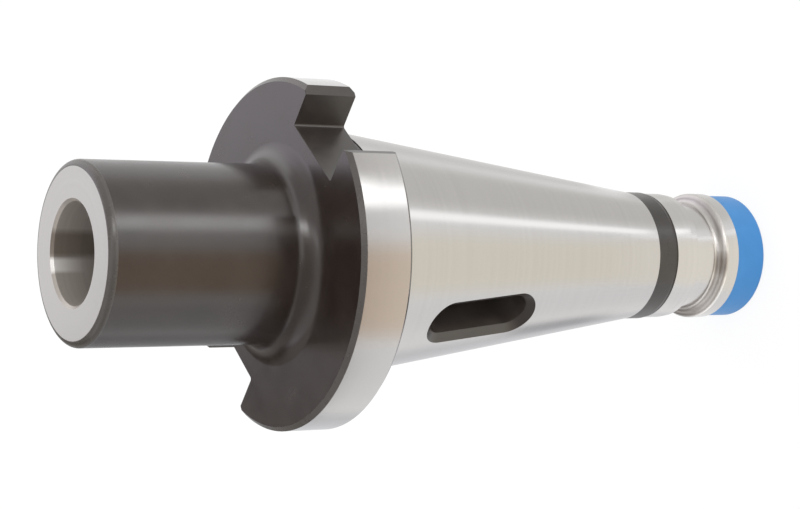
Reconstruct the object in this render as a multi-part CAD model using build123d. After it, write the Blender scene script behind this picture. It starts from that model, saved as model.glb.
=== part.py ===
from build123d import *
import math
import os

# Reducing sleeve: a size 40 steep-taper shank outside, a Morse 2 socket inside.
# Millimetres. Z is the axis with the nose up, and z = 0 is the gauge plane of the shank.
# The two drive slots face +X and -X. The drift slot runs through the body along Y.

# Steep taper of the shank, 7 mm of diameter in every 24 mm of length
gauge_diameter = 44.45
shank_taper = 7 / 24
gauge_to_small_end = 66.5

# Flange, with a neck just under the taper's large end for the grinding wheel to run out on
gauge_to_flange = 1.6
gauge_to_large_end = 0.5
flange_width = 10.0
flange_diameter = 63.0
flange_front_chamfer = 0.8
flange_rear_chamfer = 0.75
neck_step = 0.15

# Drive slots, milled through the flange
drive_slot_width = 16.1
axis_to_slot_floor = 22.5
slot_floor_fillet = 0.45
slot_rim_chamfer_depth = 1.35
slot_rim_chamfer_angle = 65.5
slot_mouth_chamfer = 0.1

# Nose
gauge_to_nose_face = 50.0
nose_diameter = 32.0
nose_edge_radius = 1.2
nose_root_radius = 4.0

# Morse 2 socket, with a plain bore for the tang behind its taper
socket_mouth_diameter = 17.78
socket_taper = 1 / 20.02
socket_depth = 67.0
tang_bore_diameter = 14.9
tang_bore_length = 12.0
socket_mouth_chamfer = 0.5

# Drift slot, for the wedge that knocks the tang out, with broad chamfers round its mouths
drift_slot_width = 6.6
drift_slot_length = 22.0
nose_face_to_drift_slot = 62.7
drift_slot_mouth_chamfer = 1.4

# Pilot behind the taper: a shoulder, a land with a lead, the gripping groove and a collar.
# Steps and depths are on the radius: the land's and the groove's from the shoulder, the lead's
# from the land, the collar's from the shoulder.
shoulder_step = 0.05
shoulder_length = 4.4
shoulder_bevel_length = 0.6
land_step = 0.2
land_length = 4.2
lead_step = 0.2
lead_length = 1.5
groove_depth = 1.95
groove_width = 6.2
groove_front_chamfer = 0.45
groove_rear_chamfer = 0.75
collar_step = 0.03
collar_width = 3.6
collar_edge_radius = 0.8

# Spigot on the tail, which the cap is pushed over, stepped down from the collar
spigot_step = 1.45
spigot_length = 6.2
spigot_chamfer = 0.5

# Drawbar thread M16, left at its minor diameter
thread_minor_diameter = 13.835
thread_depth = 32.0
thread_mouth_diameter = 17.0
drill_point_angle = 118.0

# Plastic thread cap, its outside a little below the collar's
cap_step = 0.35
cap_length = 7.3
cap_end_wall = 1.1
cap_edge_chamfer = 0.6
cap_rim_chamfer = 0.2
cap_clearance = 0.05

# How near a point has to lie to a surface to count as on it
fine = 0.01

# Heights worked out from the sizes above
flange_rear_z = gauge_to_flange
flange_front_z = flange_rear_z + flange_width
large_end_z = gauge_to_large_end
small_end_z = -gauge_to_small_end
shoulder_z = small_end_z - shoulder_length
land_z = shoulder_z - land_length
lead_z = land_z - lead_length
groove_z = lead_z - groove_width
collar_z = groove_z - collar_width
spigot_z = collar_z - spigot_length
cap_z = collar_z - cap_length
socket_floor_z = gauge_to_nose_face - socket_depth
drift_slot_middle_z = gauge_to_nose_face - nose_face_to_drift_slot - drift_slot_length / 2


def taper_radius(z):
    """Radius of the shank's ground cone at a height."""
    return (gauge_diameter + shank_taper * z) / 2


def socket_radius(z):
    """Radius of the Morse socket's cone at a height."""
    return (socket_mouth_diameter - socket_taper * (gauge_to_nose_face - z)) / 2


# Radii on the tail, which the body and the cap share
shoulder_radius = taper_radius(small_end_z) - shoulder_step
collar_radius = shoulder_radius - collar_step
spigot_radius = collar_radius - spigot_step


def corner(face, radius, z):
    """The corner of a profile in the XZ plane that lies nearest to a radius and a height."""
    return face.vertices().sort_by_distance(Vector(radius, 0, z))[0]


def profile(points):
    """A closed face in the XZ plane through points given as radius and height."""
    return make_face(Polyline(*[(radius, 0, z) for radius, z in points], close=True)).face()


def turned_blank():
    """Nose, flange, taper and pilot, as one profile turned about the axis."""
    nose_radius = nose_diameter / 2
    flange_radius = flange_diameter / 2
    neck_radius = taper_radius(large_end_z) - neck_step
    land_radius = shoulder_radius - land_step
    lead_radius = land_radius - lead_step
    groove_radius = shoulder_radius - groove_depth

    face = profile([
        (0, gauge_to_nose_face),
        (nose_radius, gauge_to_nose_face),
        (nose_radius, flange_front_z),
        (flange_radius, flange_front_z),
        (flange_radius, flange_rear_z),
        (neck_radius, flange_rear_z),
        (neck_radius, large_end_z),
        (taper_radius(large_end_z), large_end_z),
        (taper_radius(small_end_z), small_end_z),
        (shoulder_radius, small_end_z),
        (shoulder_radius, shoulder_z + shoulder_bevel_length),
        (land_radius, shoulder_z),
        (land_radius, land_z),
        (lead_radius, lead_z),
        (groove_radius, lead_z),
        (groove_radius, groove_z),
        (collar_radius, groove_z),
        (collar_radius, collar_z),
        (spigot_radius, collar_z),
        (spigot_radius, spigot_z),
        (0, spigot_z),
    ])

    rounded = [
        (nose_radius, gauge_to_nose_face, nose_edge_radius),
        (nose_radius, flange_front_z, nose_root_radius),
        (collar_radius, groove_z, collar_edge_radius),
    ]
    for radius, z, fillet_radius in rounded:
        face = face.fillet_2d(fillet_radius, [corner(face, radius, z)])

    chamfered = [
        (flange_radius, flange_front_z, flange_front_chamfer),
        (flange_radius, flange_rear_z, flange_rear_chamfer),
        (groove_radius, lead_z, groove_front_chamfer),
        (groove_radius, groove_z, groove_rear_chamfer),
        (spigot_radius, spigot_z, spigot_chamfer),
    ]
    for radius, z, size in chamfered:
        face = face.chamfer_2d(size, size, [corner(face, radius, z)])
    return revolve(face, Axis.Z)


def morse_socket():
    """The taper bore with its mouth chamfer, and the plain bore for the tang."""
    tang_radius = tang_bore_diameter / 2
    tang_top_z = socket_floor_z + tang_bore_length
    mouth_z = gauge_to_nose_face
    return revolve(profile([
        (0, mouth_z),
        (socket_radius(mouth_z) + socket_mouth_chamfer, mouth_z),
        (socket_radius(mouth_z - socket_mouth_chamfer), mouth_z - socket_mouth_chamfer),
        (socket_radius(tang_top_z), tang_top_z),
        (tang_radius, tang_top_z),
        (tang_radius, socket_floor_z),
        (0, socket_floor_z),
    ]), Axis.Z)


def drawbar_hole():
    """The tapped hole in the tail, with its countersunk mouth and its drill point."""
    radius = thread_minor_diameter / 2
    mouth_radius = thread_mouth_diameter / 2
    floor_z = spigot_z + thread_depth
    point_z = floor_z + radius / math.tan(math.radians(drill_point_angle / 2))
    return revolve(profile([
        (0, spigot_z),
        (mouth_radius, spigot_z),
        (radius, spigot_z + mouth_radius - radius),
        (radius, floor_z),
        (0, point_z),
    ]), Axis.Z)


def drive_slot_outline():
    """The drive slot on +X seen along the axis, flared where its walls meet the rim."""
    half_width = drive_slot_width / 2
    rim_x = math.sqrt((flange_diameter / 2) ** 2 - half_width ** 2)
    flare_x = rim_x - slot_rim_chamfer_depth
    outside_x = flange_diameter / 2 + slot_rim_chamfer_depth
    flare = (outside_x - flare_x) * math.tan(math.radians(slot_rim_chamfer_angle))
    outline = make_face(Polyline(
        (axis_to_slot_floor, -half_width),
        (flare_x, -half_width),
        (outside_x, -half_width - flare),
        (outside_x, half_width + flare),
        (flare_x, half_width),
        (axis_to_slot_floor, half_width),
        close=True,
    )).face()
    floor_corners = outline.vertices().sort_by(Axis.X)[:2]
    return outline.fillet_2d(slot_floor_fillet, floor_corners)


def drive_slot():
    """The space milled out of the flange on +X, with the edges of its front mouth broken."""
    outline = drive_slot_outline()
    run_out = gauge_to_flange / 2
    slot = Pos(0, 0, flange_rear_z - run_out) * extrude(outline, flange_width + 2 * run_out)
    mouth = loft([
        Pos(0, 0, flange_front_z - slot_mouth_chamfer) * outline,
        Pos(0, 0, flange_front_z + run_out) * offset(outline, slot_mouth_chamfer + run_out).face(),
    ])
    return slot + mouth


def drift_slot():
    """The slot with full-round ends that runs right through the body along Y."""
    section = SlotOverall(drift_slot_length, drift_slot_width)
    upright = Plane(origin=(0, 0, drift_slot_middle_z), x_dir=(0, 0, 1), z_dir=(0, 1, 0))
    return extrude(upright * section, gauge_diameter / 2, both=True)


def drift_slot_mouths(body):
    """The edges where the drift slot's walls meet the ground taper, on both sides."""
    mouths = []
    for edge in body.edges():
        middle = edge @ 0.5
        on_taper = math.isclose(math.hypot(middle.X, middle.Y), taper_radius(middle.Z), abs_tol=fine)
        if on_taper and abs(middle.X) < drift_slot_width / 2 + fine:
            mouths.append(edge)
    return mouths


def sleeve_body():
    """The steel body, with the mouths of the drift slot chamfered where they meet the taper."""
    body = turned_blank() - morse_socket() - drawbar_hole()
    slot = drive_slot()
    body -= slot
    body -= Rot(0, 0, 180) * slot
    body -= drift_slot()
    return chamfer(drift_slot_mouths(body), drift_slot_mouth_chamfer)


def thread_cap():
    """A round cap over the spigot, seated with its rim on the collar."""
    outer_radius = collar_radius - cap_step
    inner_radius = spigot_radius + cap_clearance
    face = profile([
        (0, cap_z),
        (outer_radius, cap_z),
        (outer_radius, collar_z),
        (inner_radius, collar_z),
        (inner_radius, cap_z + cap_end_wall),
        (0, cap_z + cap_end_wall),
    ])
    face = face.chamfer_2d(cap_edge_chamfer, cap_edge_chamfer, [corner(face, outer_radius, cap_z)])
    face = face.chamfer_2d(cap_rim_chamfer, cap_rim_chamfer, [corner(face, outer_radius, collar_z)])
    return revolve(face, Axis.Z)


os.makedirs("parts", exist_ok=True)
export_step(sleeve_body(), "parts/sleeve_body.step")
export_step(thread_cap(), "parts/thread_cap.step")
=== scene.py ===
import math

import bmesh
import bpy
from mathutils import Matrix, Vector


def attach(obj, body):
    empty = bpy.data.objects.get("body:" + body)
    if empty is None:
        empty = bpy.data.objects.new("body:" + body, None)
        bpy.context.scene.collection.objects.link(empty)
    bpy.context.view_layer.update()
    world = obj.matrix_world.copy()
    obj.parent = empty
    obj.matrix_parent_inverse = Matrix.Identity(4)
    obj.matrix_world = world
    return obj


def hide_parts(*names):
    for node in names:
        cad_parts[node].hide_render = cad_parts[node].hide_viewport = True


# The sleeve stands on its cap, nose up, on the axis of the frame. Sizes are given in millimetres
# and angles in degrees, and the functions turn them into metres and radians.
MM = 0.001

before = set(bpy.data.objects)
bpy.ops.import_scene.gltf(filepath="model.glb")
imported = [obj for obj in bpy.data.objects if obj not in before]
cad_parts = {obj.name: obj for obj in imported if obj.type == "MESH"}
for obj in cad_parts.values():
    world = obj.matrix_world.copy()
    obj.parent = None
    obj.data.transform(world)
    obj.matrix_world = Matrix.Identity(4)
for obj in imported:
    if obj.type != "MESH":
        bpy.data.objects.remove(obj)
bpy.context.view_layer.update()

# Heights on the body, from the nose down to the tail
NOSE_FACE = 50.0
SOCKET_FLOOR = -17.0
TANG_BORE_TOP = -5.0
FLANGE_FRONT = 11.6
FLANGE_REAR = 1.6
TAPER_LARGE_END = 0.5
TAPER_SMALL_END = -66.5
SHOULDER_END = -70.9
LAND_END = -75.1
GROOVE_FRONT = -76.6
GROOVE_REAR = -82.8
COLLAR_END = -86.4
SPIGOT_END = -92.6
THREAD_FLOOR = -60.6
CAP_END = -93.7

# Radii on the body
SOCKET_MOUTH = 8.89
SOCKET_SLOPE = 0.5 / 20.02
TANG_BORE = 7.45
NOSE = 16.0
FLANGE = 31.5
NECK = 22.148
GAUGE = 22.225
TAPER_SLOPE = 0.5 * 7 / 24
SHOULDER = 12.477
LAND = 12.277
LEAD = 12.077
GROOVE = 10.527
COLLAR = 12.447
SPIGOT = 10.997
THREAD = 6.9175
THREAD_MOUTH = 8.5
CAP = 12.097

# Rounds and chamfers, and the drill point
SOCKET_CHAMFER = 0.5
NOSE_ROUND = 1.2
NOSE_ROOT_ROUND = 4.0
FLANGE_FRONT_CHAMFER = 0.8
FLANGE_REAR_CHAMFER = 0.75
SHOULDER_BEVEL = 0.6
GROOVE_FRONT_ROUND = 0.6
GROOVE_REAR_ROUND = 0.95
COLLAR_ROUND = 0.95
SPIGOT_CHAMFER = 0.5
DRILL_POINT_HALF_ANGLE = 59

# How far three finishes reach past their edge: worn oxide from the nose face, the bevel's oxide
# on to the land, and the turned flank's steel on to the collar
WORN_REACH = 1.3
BEVEL_REACH = 0.35
TURNED_REACH = 1.0

# The cap's end wall, its clearance round the spigot, and its edges
CAP_END_WALL = 1.1
CAP_CLEARANCE = 0.05
CAP_RIM_ROUND = 0.2
CAP_EDGE_ROUND = 0.95

# Drive slots, flared at the rim, with their front edges broken
DRIVE_HALF_WIDTH = 8.05
DRIVE_FLOOR = 22.5
DRIVE_FILLET = 0.45
DRIVE_FLARE_DEPTH = 1.35
DRIVE_FLARE_ANGLE = 65.5
DRIVE_MOUTH_CHAMFER = 0.1
DRIVE_RUN_OUT = 0.8

# Drift slot. Its cutter runs on past the taper by a share of the chamfer.
DRIFT_MIDDLE = -23.7
DRIFT_HALF_LENGTH = 11.0
DRIFT_RADIUS = 3.3
DRIFT_CHAMFER = 1.4
DRIFT_RUN_OUT = 0.7

# Finishes of the body, in the order of its material slots
GROUND, BLACK, BORED, SOCKET, SLOT, MILLED, FACED, SHOULDERED, WORN, TURNED, PILOT, BEVELLED = range(12)

# How finely curves are divided: steps in a full turn, the largest angle of a step in a rounded
# corner, and steps in the drive slots' corners and in the drift slot's ends
STEPS_ROUND = 288
CORNER_STEP = 9
DRIVE_FILLET_STEPS = 8
DRIFT_END_STEPS = 48

# A point nearer to the axis than this is on it, and edges sharper than this angle are hard
ON_AXIS = 0.0001
HARD_EDGE = 28

# The range that most of a noise texture lies in
NOISE_LOW = 0.3
NOISE_HIGH = 0.7

# The ground steel's darker and lighter bands
GROUND_DARK = (0.568, 0.556, 0.547)
GROUND_LIGHT = (0.588, 0.577, 0.568)

# Level directions. Azimuths are counted from FRONT, the side that the photo shows, towards SIDE.
FRONT = Vector((0.62932, -0.77715, 0))
SIDE = Vector((-0.77715, -0.62932, 0))
UP = Vector((0, 0, 1))


def heading(azimuth):
    """The level direction at an azimuth."""
    angle = math.radians(azimuth)
    return FRONT * math.cos(angle) + SIDE * math.sin(angle)


def around(azimuth, distance, height):
    """A place given by its azimuth, its distance from the axis and its height."""
    return (heading(azimuth) * distance + UP * height) * MM


def socket_radius(z):
    """Radius of the Morse socket's cone at a height."""
    return SOCKET_MOUTH - SOCKET_SLOPE * (NOSE_FACE - z)


def taper_radius(z):
    """Radius of the shank's ground cone at a height."""
    return GAUGE + TAPER_SLOPE * z


def outward(a, b):
    """The unit normal on the left of the way from a to b, which is the free side of a profile."""
    along = (Vector(b) - Vector(a)).normalized()
    return Vector((-along.y, along.x))


def ways_from(points, i):
    """Unit directions from a corner of a profile, back to the one before and ahead to the next."""
    back = (points[i - 1] - points[i]).normalized()
    ahead = (points[i + 1] - points[i]).normalized()
    return back, ahead


def lengths_cut(points, roundings):
    """How much the rounding at each corner takes off the two sides that meet there."""
    cuts = [0.0] * len(points)
    for i in range(1, len(points) - 1):
        if roundings[i] > 0:
            back, ahead = ways_from(points, i)
            cuts[i] = roundings[i] / math.tan(back.angle(ahead) / 2)
    return cuts


def rounded_corner(points, i, length, rounding, finish):
    """The short sides of a rounded corner, which takes a length off the sides that meet there."""
    back, ahead = ways_from(points, i)
    first_normal = outward(points[i - 1], points[i])
    turn = first_normal.angle_signed(outward(points[i], points[i + 1]))
    bulge = 1 if first_normal.dot(ahead) < 0 else -1
    start = points[i] + back * length
    centre = start - first_normal * rounding * bulge
    steps = max(2, math.ceil(abs(turn) / math.radians(CORNER_STEP)))
    sides = []
    last_point = start
    last_normal = first_normal
    for k in range(1, steps + 1):
        normal = first_normal.copy()
        normal.rotate(Matrix.Rotation(-turn * k / steps, 2))
        point = centre + normal * rounding * bulge
        sides.append((last_point, point, last_normal, normal, finish))
        last_point = point
        last_normal = normal
    return sides


def profile_sides(corners):
    """Sides of a profile as (start, end, normal at start, normal at end, finish).

    Each corner is (radius, z, rounding, finish), and its finish holds from it to the next corner."""
    points = [Vector((radius, z)) for radius, z, _, _ in corners]
    cuts = lengths_cut(points, [rounding for _, _, rounding, _ in corners])
    sides = []
    for i, (_, _, rounding, finish) in enumerate(corners):
        if cuts[i] > 0:
            sides += rounded_corner(points, i, cuts[i], rounding, finish)
        if i < len(corners) - 1:
            ahead = (points[i + 1] - points[i]).normalized()
            start = points[i] + ahead * cuts[i]
            end = points[i + 1] - ahead * cuts[i + 1]
            normal = outward(start, end)
            sides.append((start, end, normal, normal, finish))
    return sides


def finished(name, bm):
    """The mesh that an edit mesh has become."""
    mesh = bpy.data.meshes.new(name)
    bm.to_mesh(mesh)
    bm.free()
    return mesh


def placed(name, data):
    """A new object in the scene, at the origin."""
    thing = bpy.data.objects.new(name, data)
    bpy.context.scene.collection.objects.link(thing)
    return thing


def ring(bm, point):
    """The vertices that a point of a profile makes when it is turned, or one if it is on the axis."""
    radius = point.x * MM
    height = point.y * MM
    if point.x < ON_AXIS:
        return [bm.verts.new((0, 0, height))]
    verts = []
    for k in range(STEPS_ROUND):
        angle = 2 * math.pi * k / STEPS_ROUND
        verts.append(bm.verts.new((radius * math.cos(angle), radius * math.sin(angle), height)))
    return verts


def lathe(name, corners):
    """A mesh turned about Z from a profile, with the number of its side kept on each face."""
    sides = profile_sides(corners)
    bm = bmesh.new()
    side_layer = bm.faces.layers.int.new("side")
    ahead = ring(bm, sides[0][0])
    for number, (_, end, _, _, finish) in enumerate(sides, start=1):
        back = ahead
        ahead = ring(bm, end)
        for k in range(STEPS_ROUND):
            n = (k + 1) % STEPS_ROUND
            if len(back) == 1:
                loop = [back[0], ahead[k], ahead[n]]
            elif len(ahead) == 1:
                loop = [back[k], ahead[0], back[n]]
            else:
                loop = [back[k], ahead[k], ahead[n], back[n]]
            face = bm.faces.new(loop)
            face[side_layer] = number
            face.material_index = finish
            face.smooth = True
    bm.normal_update()
    return finished(name, bm), sides


def stack(name, rings, finishes):
    """A closed solid through rings of equally many points, with a finish for each band between them."""
    bm = bmesh.new()
    layers = [[bm.verts.new(Vector(p) * MM) for p in points] for points in rings]
    count = len(layers[0])
    for a, b, finish in zip(layers, layers[1:], finishes):
        for k in range(count):
            n = (k + 1) % count
            bm.faces.new([a[k], a[n], b[n], b[k]]).material_index = finish
    bm.faces.new(list(reversed(layers[0])))
    bm.faces.new(layers[-1])
    bmesh.ops.recalc_face_normals(bm, faces=bm.faces)
    for face in bm.faces:
        face.smooth = True
    return finished(name, bm)


def arc(centre, radius, start, end, steps):
    """Points on an arc between two angles."""
    points = []
    for k in range(steps + 1):
        angle = math.radians(start + (end - start) * k / steps)
        points.append(Vector((centre[0] + radius * math.cos(angle), centre[1] + radius * math.sin(angle))))
    return points


def grown(outline, amount):
    """A closed counter-clockwise outline moved outwards by an amount, its sharp corners held back."""
    sharpest = 0.3
    moved = []
    count = len(outline)
    for i, point in enumerate(outline):
        before = (point - outline[i - 1]).normalized()
        after = (outline[(i + 1) % count] - point).normalized()
        normal_before = Vector((before.y, -before.x))
        normal_after = Vector((after.y, -after.x))
        middle = (normal_before + normal_after).normalized()
        moved.append(point + middle * amount / max(middle.dot(normal_before), sharpest))
    return moved


def drive_slot_cutter(side):
    """The space of a drive slot, its flat floor rounded at the corners; side is 1 on +X and -1 on -X."""
    rim = math.sqrt(FLANGE ** 2 - DRIVE_HALF_WIDTH ** 2)
    flare_x = rim - DRIVE_FLARE_DEPTH
    outside = FLANGE + DRIVE_FLARE_DEPTH
    flare = (outside - flare_x) * math.tan(math.radians(DRIVE_FLARE_ANGLE))
    fillet_x = DRIVE_FLOOR + DRIVE_FILLET
    fillet_y = DRIVE_HALF_WIDTH - DRIVE_FILLET
    low = arc((fillet_x, -fillet_y), DRIVE_FILLET, 180, 270, DRIVE_FILLET_STEPS)
    high = arc((fillet_x, fillet_y), DRIVE_FILLET, 90, 180, DRIVE_FILLET_STEPS)
    outline = low + [
        Vector((flare_x, -DRIVE_HALF_WIDTH)),
        Vector((outside, -DRIVE_HALF_WIDTH - flare)),
        Vector((outside, DRIVE_HALF_WIDTH + flare)),
        Vector((flare_x, DRIVE_HALF_WIDTH)),
    ] + high
    levels = [
        (FLANGE_REAR - DRIVE_RUN_OUT, outline),
        (FLANGE_FRONT - DRIVE_MOUTH_CHAMFER, outline),
        (FLANGE_FRONT + DRIVE_RUN_OUT, grown(outline, DRIVE_MOUTH_CHAMFER + DRIVE_RUN_OUT)),
    ]
    rings = [[(p.x * side, p.y * side, z) for p in shape] for z, shape in levels]
    return stack("drive_slot_cutter", rings, [MILLED, MILLED])


def on_taper(point, side):
    """The place on the ground taper that a point of the drift slot's outline falls on, seen along Y."""
    z = DRIFT_MIDDLE + point.y
    return Vector((point.x, side * math.sqrt(taper_radius(z) ** 2 - point.x ** 2), z))


def drift_mouth(outline, side):
    """The rings of one mouth of the drift slot: the chamfer's inner end, and its outer end run on."""
    inner = [on_taper(point, side) - Vector((0, side * DRIFT_CHAMFER, 0)) for point in outline]
    rim = [on_taper(point, side) for point in grown(outline, DRIFT_CHAMFER)]
    outer = [b + (b - a) * DRIFT_RUN_OUT for a, b in zip(inner, rim)]
    return inner, outer


def drift_slot_cutter():
    """The space of the drift slot along Y, with broad chamfers where it meets the taper."""
    straight = DRIFT_HALF_LENGTH - DRIFT_RADIUS
    top = arc((0, straight), DRIFT_RADIUS, 0, 180, DRIFT_END_STEPS)
    bottom = arc((0, -straight), DRIFT_RADIUS, 180, 360, DRIFT_END_STEPS)
    back_inner, back_outer = drift_mouth(top + bottom, -1)
    front_inner, front_outer = drift_mouth(top + bottom, 1)
    rings = [back_outer, back_inner, front_inner, front_outer]
    return stack("drift_slot_cutter", rings, [MILLED, SLOT, MILLED])


def cut(mesh, cutters):
    """The mesh with the spaces of the cutters taken out."""
    blank = placed("blank", mesh)
    tools = []
    for cutter in cutters:
        tool = placed(cutter.name, cutter)
        tools.append(tool)
        boolean = blank.modifiers.new(cutter.name, "BOOLEAN")
        boolean.operation = "DIFFERENCE"
        boolean.solver = "EXACT"
        boolean.material_mode = "INDEX"
        boolean.object = tool
    depsgraph = bpy.context.evaluated_depsgraph_get()
    result = bpy.data.meshes.new_from_object(blank.evaluated_get(depsgraph))
    for thing in [blank] + tools:
        bpy.data.objects.remove(thing)
    return result


def exact_normals(mesh, sides):
    """Gives turned faces the normals of the true turned surface, and the rest those of their flats."""
    mesh.set_sharp_from_angle(angle=math.radians(HARD_EDGE))
    numbers = [0] * len(mesh.polygons)
    mesh.attributes["side"].data.foreach_get("value", numbers)
    plain = [Vector(corner.vector) for corner in mesh.corner_normals]
    normals = []
    for polygon in mesh.polygons:
        number = numbers[polygon.index]
        for loop in polygon.loop_indices:
            if number == 0:
                normals.append(plain[loop])
                continue
            start, end, normal_start, normal_end, _ = sides[number - 1]
            point = mesh.vertices[mesh.loops[loop].vertex_index].co / MM
            radius = math.hypot(point.x, point.y)
            along = end - start
            share = (Vector((radius, point.z)) - start).dot(along) / along.length_squared
            flat = normal_start.lerp(normal_end, min(max(share, 0), 1)).normalized()
            if radius < ON_AXIS:
                normals.append(Vector((0, 0, math.copysign(1, flat.y))))
                continue
            normals.append(Vector((flat.x * point.x / radius, flat.x * point.y / radius, flat.y)))
    mesh.normals_split_custom_set(normals)


def piece(name, mesh, materials, node):
    """Puts a mesh in the scene as the piece that stands for a CAD node."""
    shown = placed(name, mesh)
    for index, material in enumerate(materials):
        if index < len(mesh.materials):
            mesh.materials[index] = material
        else:
            mesh.materials.append(material)
    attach(shown, "root")
    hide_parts(node)


class Nodes:
    """A node tree, and short ways to add nodes and links to it."""

    def __init__(self, tree):
        self.tree = tree

    def add(self, kind, **values):
        """A new node with some of its properties set."""
        node = self.tree.nodes.new(kind)
        for key, value in values.items():
            setattr(node, key, value)
        return node

    def link(self, source, target):
        """Links an output to an input."""
        self.tree.links.new(source, target)

    def feed(self, value, target):
        """Gives an input a number or the output of another node."""
        if isinstance(value, (int, float)):
            target.default_value = value
        else:
            self.link(value, target)

    def math(self, operation, *values):
        """One step of arithmetic on numbers or outputs."""
        node = self.add("ShaderNodeMath", operation=operation)
        for target, value in zip(node.inputs, values):
            self.feed(value, target)
        return node.outputs[0]

    def product(self, first, *others):
        """All the values multiplied together."""
        result = first
        for value in others:
            result = self.math("MULTIPLY", result, value)
        return result

    def spread(self, value, low, high, out_low=0, out_high=1, interpolation="LINEAR"):
        """A value's range from low to high, spread over another range and held at its ends."""
        node = self.add("ShaderNodeMapRange", interpolation_type=interpolation)
        self.link(value, node.inputs["Value"])
        for key, amount in (("From Min", low), ("From Max", high), ("To Min", out_low), ("To Max", out_high)):
            node.inputs[key].default_value = amount
        return node.outputs[0]

    def between(self, share, a, b):
        """The mix of two colours, all a where the share is 0 and all b where it is 1."""
        node = self.add("ShaderNodeMix", data_type="RGBA")
        self.link(share, node.inputs["Factor"])
        for target, colour in ((node.inputs["A"], a), (node.inputs["B"], b)):
            if isinstance(colour, tuple):
                target.default_value = (*colour, 1)
            else:
                self.link(colour, target)
        return node.outputs["Result"]

    def dot(self, vector, direction):
        """How far an output points in a fixed direction."""
        node = self.add("ShaderNodeVectorMath", operation="DOT_PRODUCT")
        self.link(vector, node.inputs[0])
        node.inputs[1].default_value = direction
        return node.outputs["Value"]

    def emission(self, colour, strength):
        """A shader that glows by itself."""
        node = self.add("ShaderNodeEmission")
        node.inputs["Color"].default_value = (*colour, 1)
        node.inputs["Strength"].default_value = strength
        return node.outputs[0]


class Material(Nodes):
    """A new material, empty but for its output."""

    def __init__(self, name):
        self.material = bpy.data.materials.new(name)
        self.material.use_nodes = True
        super().__init__(self.material.node_tree)
        self.tree.nodes.clear()
        self.output = self.add("ShaderNodeOutputMaterial")

    def mixed(self, share, under, over):
        """Makes the surface a mix of two shaders, all the second where the share is 1."""
        mix = self.add("ShaderNodeMixShader")
        for source, target in zip((share, under, over), mix.inputs):
            self.link(source, target)
        self.link(mix.outputs[0], self.output.inputs[0])


class Finish(Material):
    """A material of one principled shader. The numbers given hold where no node feeds that input."""

    def __init__(self, name, **numbers):
        super().__init__(name)
        self.shader = self.add("ShaderNodeBsdfPrincipled")
        for key, value in numbers.items():
            self.shader.inputs[key].default_value = value
        self.link(self.shader.outputs[0], self.output.inputs[0])
        self.place = self.add("ShaderNodeTexCoord").outputs["Object"]
        split = self.add("ShaderNodeSeparateXYZ")
        self.link(self.place, split.inputs[0])
        self.x, self.y, self.z = split.outputs

    def blotched(self, noise, dark, light, low=NOISE_LOW, high=NOISE_HIGH):
        """A colour that a noise varies between a dark and a light one."""
        return self.between(self.spread(noise, low, high), dark, light)

    def colour(self, colour):
        """Lets an output give the colour."""
        self.link(colour, self.shader.inputs["Base Color"])

    def roughness(self, noise, smooth, rough):
        """Lets a noise vary the roughness."""
        self.link(self.spread(noise, NOISE_LOW, NOISE_HIGH, smooth, rough), self.shader.inputs["Roughness"])

    def bump(self, height, strength, depth):
        """Raises and sinks the surface by an output."""
        node = self.add("ShaderNodeBump")
        node.inputs["Strength"].default_value = strength
        node.inputs["Distance"].default_value = depth * MM
        self.link(height, node.inputs["Height"])
        self.link(node.outputs[0], self.shader.inputs["Normal"])

    def noise(self, place, scale, detail=3.0, roughness=0.55):
        """Noise at a scale per metre, finer with more detail."""
        node = self.add("ShaderNodeTexNoise")
        node.inputs["Scale"].default_value = scale
        node.inputs["Detail"].default_value = detail
        node.inputs["Roughness"].default_value = roughness
        self.link(place, node.inputs["Vector"])
        return node.outputs[0]

    def turned_noise(self, round_axis, across, detail=3.0):
        """Noise drawn out round the axis as turning leaves it, its two scales per metre.

        Along a profile it follows the height and the radius, so that it marks flat faces too."""
        radius_share = 1.3
        squares = self.math("ADD", self.product(self.x, self.x), self.product(self.y, self.y))
        radius = self.math("SQRT", squares)
        along = self.math("ADD", self.z, self.product(radius, radius_share))
        place = self.add("ShaderNodeCombineXYZ")
        scales = ((self.x, round_axis), (self.y, round_axis), (along, across))
        for target, (value, scale) in zip(place.inputs, scales):
            self.link(self.product(value, scale), target)
        return self.noise(place.outputs[0], 1.0, detail)

    def at_height(self, z, full, none):
        """1 within a distance of a height on the axis, falling to 0 at a longer one."""
        away = self.math("ABSOLUTE", self.math("SUBTRACT", self.z, z * MM))
        return self.spread(away, full * MM, none * MM, 1, 0)

    def beside(self, azimuth, full, none):
        """1 within an angle of an azimuth round the axis, falling to 0 at a wider one."""
        level = self.add("ShaderNodeCombineXYZ")
        self.link(self.x, level.inputs[0])
        self.link(self.y, level.inputs[1])
        unit = self.add("ShaderNodeVectorMath", operation="NORMALIZE")
        self.link(level.outputs[0], unit.inputs[0])
        cosine = self.dot(unit.outputs[0], heading(azimuth))
        return self.spread(cosine, math.cos(math.radians(none)), math.cos(math.radians(full)))


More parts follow.
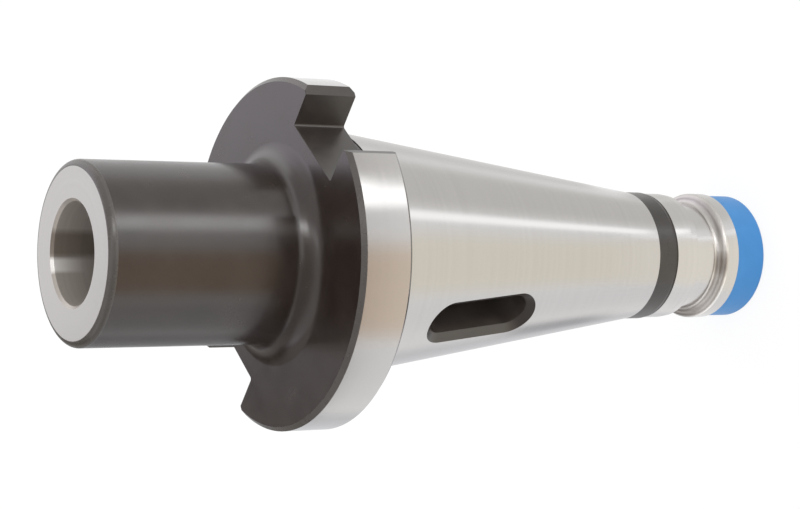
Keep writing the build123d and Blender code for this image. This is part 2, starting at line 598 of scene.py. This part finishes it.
def bright_steel(name, dark, light, roughness, stains_and_painted_light=False):
    """Bright steel with fine lines round the axis; with the flag set, also random spots of dried oily brown,
    a painted highlight that lightens one arc round the axis, and a painted shade of that brown in a narrow
    band.
    """
    m = Finish(name, Metallic=1.0, Roughness=0.2)
    lines = m.turned_noise(round_axis=40, across=9000, detail=2.0)
    bands = m.turned_noise(round_axis=12, across=900)
    bright = m.blotched(bands, dark, light)
    if stains_and_painted_light:
        # A painted highlight over one arc round the axis, a painted shade in a narrow band beside it, and
        # random stains; the shade and the stains share one brown.
        painted_highlight_steel = (0.92, 0.90, 0.87)
        stain_and_painted_shade_brown = (0.20, 0.15, 0.11)
        painted_shade_strength = 0.5
        painted_highlight = m.beside(azimuth=36, full=28, none=58)
        painted_shade = m.product(m.beside(azimuth=8, full=3, none=14), painted_shade_strength)
        patches = m.spread(m.noise(m.place, scale=190), low=0.42, high=0.66, out_low=0, out_high=0.12)
        bright = m.between(painted_highlight, bright, painted_highlight_steel)
        bright = m.between(m.math("MAXIMUM", patches, painted_shade), bright, stain_and_painted_shade_brown)
    m.colour(bright)
    m.roughness(bands, smooth=roughness, rough=roughness + 0.025)
    m.bump(lines, strength=0.05, depth=0.02)
    return m.material


def black_oxide():
    """Black-oxidised steel: near black, with the soft gloss of an oiled finish."""
    m = Finish("black_oxide", Metallic=0.0, Roughness=0.3, IOR=1.87)
    lines = m.turned_noise(round_axis=30, across=4000, detail=2.0)
    stains = m.noise(m.place, scale=160, detail=4.0, roughness=0.6)
    m.colour(m.blotched(stains, (0.017, 0.010, 0.008), (0.025, 0.016, 0.012), low=0.35, high=0.65))
    m.roughness(stains, smooth=0.22, rough=0.28)
    m.bump(lines, strength=0.15, depth=0.02)
    return m.material


def dull_oxide(name, dark, light, roughness, ior):
    """The same oxide where it took less of a gloss, its roughness given as a range."""
    smooth, rough = roughness
    m = Finish(name, Metallic=0.0, Roughness=rough, IOR=ior)
    stains = m.noise(m.place, scale=260, detail=4.0, roughness=0.6)
    m.colour(m.blotched(stains, dark, light, low=0.35, high=0.65))
    m.roughness(stains, smooth, rough)
    m.bump(stains, strength=0.1, depth=0.05)
    return m.material


def bore_steel():
    """The reamed Morse socket, duller than the ground outside, with a painted dark reflection run down one
    side as a brown band, and a painted highlight streak at the mouth beside it.
    """
    # A painted highlight streak at the mouth, and a painted dark reflection as a brown band down one side.
    painted_highlight_steel = (1.0, 0.98, 0.96)
    painted_reflection_brown = (0.13, 0.095, 0.07)
    painted_reflection_strength = 0.67
    m = Finish("bore_steel", Metallic=0.5, Roughness=0.35)
    bands = m.turned_noise(round_axis=10, across=1500)
    clean = m.blotched(bands, (0.46, 0.425, 0.39), (0.52, 0.48, 0.44))
    painted_reflection = m.product(m.beside(azimuth=-169, full=10, none=19), painted_reflection_strength)
    painted_highlight = m.product(m.beside(azimuth=167, full=5, none=10), m.at_height(NOSE_FACE, full=0.5, none=6.5))
    m.colour(m.between(painted_highlight, m.between(painted_reflection, clean, painted_reflection_brown), painted_highlight_steel))
    m.roughness(bands, smooth=0.3, rough=0.4)
    return m.material


def bored_steel():
    """Bare steel as the drill and the boring bar leave it."""
    m = Finish("bored_steel", Metallic=1.0, Roughness=0.3)
    bands = m.turned_noise(round_axis=10, across=1500)
    m.colour(m.blotched(bands, (0.40, 0.38, 0.36), (0.50, 0.48, 0.46)))
    m.roughness(bands, smooth=0.25, rough=0.36)
    return m.material


def cap_plastic():
    """Smooth moulded polyethylene, blue right through."""
    m = Finish("cap_plastic", Roughness=0.45, IOR=1.45)
    mottle = m.noise(m.place, scale=220)
    grain = m.noise(m.place, scale=2500, detail=2.0)
    m.colour(m.blotched(mottle, (0.048, 0.240, 0.562), (0.055, 0.258, 0.597)))
    m.bump(grain, strength=0.05, depth=0.03)
    return m.material


body_corners = [
    (0, SOCKET_FLOOR, 0, BORED),
    (TANG_BORE, SOCKET_FLOOR, 0, BORED),
    (TANG_BORE, TANG_BORE_TOP, 0, BORED),
    (socket_radius(TANG_BORE_TOP), TANG_BORE_TOP, 0, SOCKET),
    (socket_radius(NOSE_FACE - SOCKET_CHAMFER), NOSE_FACE - SOCKET_CHAMFER, 0, SOCKET),
    (SOCKET_MOUTH + SOCKET_CHAMFER, NOSE_FACE, 0, FACED),
    (NOSE, NOSE_FACE, NOSE_ROUND, WORN),
    (NOSE, NOSE_FACE - WORN_REACH, 0, BLACK),
    (NOSE, FLANGE_FRONT, NOSE_ROOT_ROUND, BLACK),
    (FLANGE - FLANGE_FRONT_CHAMFER, FLANGE_FRONT, 0, WORN),
    (FLANGE, FLANGE_FRONT - FLANGE_FRONT_CHAMFER, 0, GROUND),
    (FLANGE, FLANGE_REAR + FLANGE_REAR_CHAMFER, 0, BLACK),
    (FLANGE - FLANGE_REAR_CHAMFER, FLANGE_REAR, 0, BLACK),
    (NECK, FLANGE_REAR, 0, BLACK),
    (NECK, TAPER_LARGE_END, 0, GROUND),
    (taper_radius(TAPER_LARGE_END), TAPER_LARGE_END, 0, GROUND),
    (taper_radius(TAPER_SMALL_END), TAPER_SMALL_END, 0, SHOULDERED),
    (SHOULDER, TAPER_SMALL_END, 0, SHOULDERED),
    (SHOULDER, SHOULDER_END + SHOULDER_BEVEL, 0, BEVELLED),
    (LAND, SHOULDER_END, 0, BEVELLED),
    (LAND, SHOULDER_END - BEVEL_REACH, 0, PILOT),
    (LAND, LAND_END, 0, PILOT),
    (LEAD, GROOVE_FRONT, 0, PILOT),
    (GROOVE, GROOVE_FRONT, GROOVE_FRONT_ROUND, PILOT),
    (GROOVE, GROOVE_REAR, GROOVE_REAR_ROUND, TURNED),
    (COLLAR, GROOVE_REAR, COLLAR_ROUND, TURNED),
    (COLLAR, GROOVE_REAR - TURNED_REACH, 0, PILOT),
    (COLLAR, COLLAR_END, 0, GROUND),
    (SPIGOT, COLLAR_END, 0, BORED),
    (SPIGOT, SPIGOT_END + SPIGOT_CHAMFER, 0, BORED),
    (SPIGOT - SPIGOT_CHAMFER, SPIGOT_END, 0, BORED),
    (THREAD_MOUTH, SPIGOT_END, 0, BORED),
    (THREAD, SPIGOT_END + THREAD_MOUTH - THREAD, 0, BORED),
    (THREAD, THREAD_FLOOR, 0, BORED),
    (0, THREAD_FLOOR + THREAD / math.tan(math.radians(DRILL_POINT_HALF_ANGLE)), 0, BORED),
]

cap_corners = [
    (0, CAP_END + CAP_END_WALL, 0, 0),
    (SPIGOT + CAP_CLEARANCE, CAP_END + CAP_END_WALL, 0, 0),
    (SPIGOT + CAP_CLEARANCE, COLLAR_END, 0, 0),
    (CAP, COLLAR_END, CAP_RIM_ROUND, 0),
    (CAP, CAP_END, CAP_EDGE_ROUND, 0),
    (0, CAP_END, 0, 0),
]

turned, body_sides = lathe("sleeve", body_corners)
body_mesh = cut(turned, [drive_slot_cutter(1), drive_slot_cutter(-1), drift_slot_cutter()])
exact_normals(body_mesh, body_sides)

# One finish for each of the finish numbers, in the same order
body_finishes = [
    bright_steel("ground_steel", GROUND_DARK, GROUND_LIGHT, roughness=0.15),
    black_oxide(),
    bored_steel(),
    bore_steel(),
    dull_oxide("slot_oxide", (0.054, 0.042, 0.035), (0.080, 0.065, 0.054), roughness=(0.38, 0.46), ior=1.87),
    dull_oxide("milled_oxide", (0.018, 0.012, 0.009), (0.028, 0.020, 0.015), roughness=(0.32, 0.4), ior=1.87),
    bright_steel("faced_steel", GROUND_DARK, GROUND_LIGHT, roughness=0.09),
    dull_oxide("shoulder_oxide", (0.01, 0.006, 0.004), (0.02, 0.014, 0.01), roughness=(0.26, 0.34), ior=1.76),
    dull_oxide("worn_oxide", (0.064, 0.057, 0.051), (0.073, 0.065, 0.059), roughness=(0.24, 0.32), ior=1.70),
    bright_steel("turned_steel", (0.66, 0.64, 0.62), (0.70, 0.68, 0.66), roughness=0.36, stains_and_painted_light=True),
    bright_steel("pilot_steel", (0.612, 0.600, 0.590), (0.632, 0.620, 0.611), roughness=0.15),
    dull_oxide("bevel_oxide", (0.010, 0.006, 0.004), (0.018, 0.012, 0.008), roughness=(0.26, 0.34), ior=1.50),
]
piece("sleeve", body_mesh, body_finishes, "sleeve_body")

cap_mesh, cap_sides = lathe("cap", cap_corners)
exact_normals(cap_mesh, cap_sides)
piece("cap", cap_mesh, [cap_plastic()], "thread_cap")

# The camera looks down on the front from the nose's side, rolled so that the nose is on the left
CAMERA_PLACE = Vector((208.853, -258.777, 193.291))
VIEW_RIGHT = Vector((0.33611, -0.41142, -0.84721)).normalized()
VIEW_BACK = Vector((0.53205, -0.65931, 0.53125)).normalized()
VIEW_UP = VIEW_BACK.cross(VIEW_RIGHT).normalized()
LENS = 95.67
SENSOR = 36
NEAREST_SEEN = 10
camera_data = bpy.data.cameras.new("camera")
camera_data.sensor_width = SENSOR
camera_data.lens = LENS
camera_data.clip_start = NEAREST_SEEN * MM
camera = placed("camera", camera_data)
turned_view = Matrix((VIEW_RIGHT, VIEW_UP, VIEW_BACK)).transposed().to_4x4()
camera.matrix_world = Matrix.Translation(CAMERA_PLACE * MM) @ turned_view
bpy.context.scene.camera = camera

# A pale floor under the cap. To the camera and in reflections most of its white is its own.
FLOOR_WHITE = 0.9
OWN_WHITE = 1.03
OWN_SHARE = 0.86
FLOOR_REACH = 1500
floor_material = Material("floor")
lit = floor_material.add("ShaderNodeBsdfDiffuse")
lit.inputs["Color"].default_value = (FLOOR_WHITE, FLOOR_WHITE, FLOOR_WHITE, 1)
own = floor_material.emission((1, 1, 1), OWN_WHITE)
path = floor_material.add("ShaderNodeLightPath")
seen = floor_material.math("MAXIMUM", path.outputs["Is Camera Ray"], path.outputs["Is Glossy Ray"])
seen = floor_material.math("MAXIMUM", seen, path.outputs["Is Transmission Ray"])
floor_material.mixed(floor_material.product(seen, OWN_SHARE), lit.outputs[0], own)
floor_mesh = bpy.data.meshes.new("floor")
floor_corners = [Vector((x, y, 0)) * FLOOR_REACH for x, y in ((-1, -1), (1, -1), (1, 1), (-1, 1))]
floor_mesh.from_pydata([(corner + UP * CAP_END) * MM for corner in floor_corners], [], [(0, 1, 2, 3)])
floor_mesh.materials.append(floor_material.material)
floor = placed("floor", floor_mesh)


def card_material(name, colour, strength, soft_sides, soft_ends):
    """A glow that fades out towards the sides and the ends of a card, each over a share of its size."""
    m = Material(name)
    split = m.add("ShaderNodeSeparateXYZ")
    m.link(m.add("ShaderNodeUVMap").outputs[0], split.inputs[0])
    inside = []
    for across, reach in zip(split.outputs[:2], (soft_sides, soft_ends)):
        to_edge = m.math("SUBTRACT", 0.5, m.math("ABSOLUTE", m.math("SUBTRACT", across, 0.5)))
        inside.append(m.spread(to_edge, 0, reach, interpolation="SMOOTHSTEP"))
    clear = m.add("ShaderNodeBsdfTransparent")
    m.mixed(m.product(*inside), clear.outputs[0], m.emission(colour, strength))
    return m.material


def card_mesh(name, stations, height):
    """A sheet level with the floor, with its place across and along it kept as UV."""
    steps = 16
    bm = bmesh.new()
    uv = bm.loops.layers.uv.new("UVMap")
    first = stations[0][0]
    last = stations[-1][0]
    rows = []
    for distance, azimuth, spread in stations:
        row = []
        for k in range(steps + 1):
            angle = azimuth + spread * (k / steps - 0.5)
            vert = bm.verts.new(around(angle, distance, height))
            row.append((vert, (k / steps, (distance - first) / (last - first))))
        rows.append(row)
    for near, far in zip(rows, rows[1:]):
        for k in range(steps):
            corners = [near[k], far[k], far[k + 1], near[k + 1]]
            face = bm.faces.new([corner[0] for corner in corners])
            for loop, corner in zip(face.loops, corners):
                loop[uv].uv = corner[1]
    return finished(name, bm)


cards = []


def card(name, stations, colour, strength, soft_sides=0.3, soft_ends=0.02):
    """A studio card lying on the floor, with soft sides and ends, that only reflections show.

    Each station is (distance from the axis, azimuth of the card's middle there, its spread).
    Each card lies a little over the one before, so a later one covers an earlier one."""
    lowest = 0.4
    apart = 0.2
    mesh = card_mesh(name, stations, CAP_END + lowest + apart * len(cards))
    mesh.materials.append(card_material(name, colour, strength, soft_sides, soft_ends))
    sheet = placed(name, mesh)
    sheet.visible_camera = False
    sheet.visible_diffuse = False
    sheet.visible_shadow = False
    sheet.visible_transmission = False
    cards.append(sheet)


def sector(near, far, azimuth, spread):
    """The stations of a card with straight sides, between two distances from the axis."""
    return [(near, azimuth, spread), (far, azimuth, spread)]


card("grey_left", sector(near=10, far=210, azimuth=-78, spread=82),
     colour=(1.0, 0.99, 0.96), strength=0.78, soft_ends=0.06)
card("grey_left_for_nose", sector(near=196, far=420, azimuth=-76, spread=74),
     colour=(1.0, 0.99, 0.96), strength=0.66)
card("grey_left_for_tail", sector(near=6, far=40, azimuth=-135, spread=80),
     colour=(1.0, 0.99, 0.97), strength=0.80, soft_ends=0.2)
card("grey_left_for_rim", sector(near=150, far=208, azimuth=-78, spread=82),
     colour=(1.0, 0.99, 0.96), strength=0.90, soft_ends=0.12)
card("warm_for_rim", sector(near=130, far=208, azimuth=22, spread=74),
     colour=(1.0, 0.86, 0.72), strength=0.95, soft_sides=0.25, soft_ends=0.12)
card("warm_for_nose", sector(near=196, far=420, azimuth=22, spread=74),
     colour=(1.0, 0.76, 0.56), strength=0.70, soft_sides=0.25)
card("warm_for_taper", sector(near=8, far=150, azimuth=8, spread=84),
     colour=(1.0, 0.95, 0.84), strength=1.01, soft_ends=0.1)
card("warm_for_tail", sector(near=6, far=45, azimuth=12, spread=96),
     colour=(1.0, 0.96, 0.88), strength=1.06, soft_ends=0.35)
card("light_right", sector(near=12, far=110, azimuth=66, spread=50),
     colour=(0.99, 0.99, 1.0), strength=0.98, soft_sides=0.4, soft_ends=0.1)
card("grey_middle_for_nose", sector(near=196, far=420, azimuth=84, spread=66),
     colour=(0.98, 0.98, 1.0), strength=0.72)
card("grey_for_rim", sector(near=150, far=208, azimuth=140, spread=62),
     colour=(0.96, 0.97, 1.0), strength=0.80, soft_ends=0.1)
card("grey_for_nose", sector(near=196, far=420, azimuth=138, spread=66),
     colour=(0.96, 0.97, 1.0), strength=0.48)
card("grey_right_for_taper", sector(near=14, far=150, azimuth=142, spread=84),
     colour=(0.97, 0.97, 1.0), strength=0.80, soft_ends=0.06)
card("grey_left_for_taper", sector(near=40, far=150, azimuth=-146, spread=70),
     colour=(1.0, 0.99, 0.98), strength=0.82, soft_ends=0.08)
card("dark_for_taper", sector(near=34, far=80, azimuth=113, spread=42),
     colour=(0.96, 0.96, 1.0), strength=0.56, soft_sides=0.45, soft_ends=0.35)
card("strip_for_tail", [(6, -27, 9), (30, -29.5, 10), (38, -31, 10)],
     colour=(1.0, 1.0, 1.0), strength=1.2, soft_ends=0.1)
card("strip_for_taper", [(27, -36.5, 11), (95, -39.5, 13), (150, -38.5, 14)],
     colour=(1.0, 1.0, 1.0), strength=1.62, soft_ends=0.05)
card("strip_for_rim", [(140, -36, 15), (190, -34.5, 18), (208, -35, 19)],
     colour=(1.0, 1.0, 1.0), strength=2.0, soft_ends=0.06)
card("shade_for_root", sector(near=196, far=218, azimuth=20, spread=260),
     colour=(1.0, 0.93, 0.88), strength=0.26, soft_sides=0.1, soft_ends=0.42)
card("far_left", sector(near=405, far=1480, azimuth=-95, spread=100),
     colour=(1.0, 0.99, 0.97), strength=0.62)
card("far_middle", sector(near=405, far=1480, azimuth=35, spread=120),
     colour=(1.0, 0.92, 0.85), strength=0.60)
card("far_right", sector(near=405, far=1480, azimuth=125, spread=110),
     colour=(0.97, 0.97, 1.0), strength=0.34)
card("strip_for_root", [(182, -35, 20), (207, -36.5, 22)],
     colour=(1.0, 1.0, 1.0), strength=1.6, soft_ends=0.12)
card("strip_for_nose", [(199, -37.5, 24), (420, -38.5, 24)],
     colour=(1.0, 1.0, 1.0), strength=3.1, soft_ends=0.04)


def lamp(name, azimuth, distance, height, size, radiance, colour):
    """A square soft box that faces the sleeve, given by its radiance. No reflection shows it."""
    aim_height = -10
    data = bpy.data.lights.new(name, "AREA")
    data.shape = "SQUARE"
    data.size = size * MM
    data.energy = radiance * math.pi * (size * MM) ** 2
    data.color = colour
    box = placed(name, data)
    box.location = around(azimuth, distance, height)
    aim = UP * aim_height * MM - box.location
    box.rotation_euler = aim.to_track_quat("-Z", "Y").to_euler()
    box.visible_camera = False
    box.visible_glossy = False


lamp("key", azimuth=-125, distance=700, height=500, size=500, radiance=1.2, colour=(1.0, 1.0, 1.0))
lamp("side", azimuth=-36, distance=700, height=230, size=350, radiance=2.4, colour=(1.0, 0.98, 0.95))

# A white studio round it all. Reflections alone meet other tones in it, each in some directions.
world = bpy.data.worlds.new("studio")
bpy.context.scene.world = world
world.use_nodes = True
studio = Nodes(world.node_tree)
toward = studio.add("ShaderNodeTexCoord").outputs["Generated"]
mirrored = studio.add("ShaderNodeLightPath").outputs["Is Glossy Ray"]


def facing(direction, low, high):
    """How far a ray heads in a direction, from 0 to 1 between two cosines."""
    return studio.spread(studio.dot(toward, direction), low, high, interpolation="SMOOTHSTEP")


def below(low, high):
    """1 for a ray that heads up less than the lower of two cosines, falling to 0 at the higher."""
    return facing(-UP, -high, -low)


WINDOW = heading(-32)
BESIDE_WINDOW = heading(58)
far_side = facing(-FRONT, 0.50, 0.65)
in_front = studio.product(facing(UP, 0.05, 0.2), facing(FRONT, -0.6, -0.3))
overhead = facing(UP, 0.60, 0.74)
window = [
    facing(BESIDE_WINDOW, -0.12, -0.04),
    facing(-BESIDE_WINDOW, -0.12, -0.04),
    facing(WINDOW, 0.1, 0.25),
]
patch_upper = studio.product(facing(SIDE, -0.045, 0.03), facing(UP, 0.42, 0.445))
patch_lower = studio.product(facing(SIDE, 0.044, 0.062), facing(UP, 0.20, 0.26))

# Tones as (colour, shares). Each covers the ones before it where all of its shares are 1.
tones = [
    # The far wall, and its upper part
    ((0.94, 0.93, 0.93), [facing(-FRONT, 0.3, 0.6)]),
    ((1.12, 1.065, 1.2), [facing(-FRONT, 0.3, 0.6), facing(UP, 0.415, 0.445)]),
    # The room in front, and the ceiling
    ((0.58, 0.56, 0.55), [studio.math("MAXIMUM", in_front, overhead)]),
    # The wall on one side
    ((0.32, 0.30, 0.28), [facing(SIDE, 0.07, 0.17), facing(UP, -0.12, -0.04), below(0.38, 0.52)]),
    # A glow low on the other side, at the back
    ((1.25, 1.22, 1.26), [facing(heading(-140), 0.72, 0.90), facing(UP, 0.05, 0.16), below(0.34, 0.5)]),
    # The darker end of the room in front
    ((0.32, 0.29, 0.27), [in_front, facing(heading(35), 0.25, 0.75)]),
    # A tall window, and its brighter lower part
    ((1.5, 1.49, 1.47), window),
    ((5.0, 4.97, 4.9), [*window, below(0.5, 0.64)]),
    # A dark patch on the far wall, with a gleam and a lighter edge
    ((0.06, 0.05, 0.04), [studio.math("MAXIMUM", patch_upper, patch_lower), far_side]),
    ((0.10, 0.09, 0.08), [facing(SIDE, 0.058, 0.076), facing(UP, 0.470, 0.488), far_side]),
    ((0.42, 0.39, 0.37), [facing(SIDE, 0.0, 0.03), facing(UP, 0.486, 0.500), far_side]),
]
tone = (1.0, 1.0, 1.0)
for colour, shares in tones:
    tone = studio.between(studio.product(mirrored, *shares), tone, colour)
studio.link(tone, world.node_tree.nodes["Background"].inputs["Color"])

bpy.context.scene.view_settings.view_transform = "Standard"
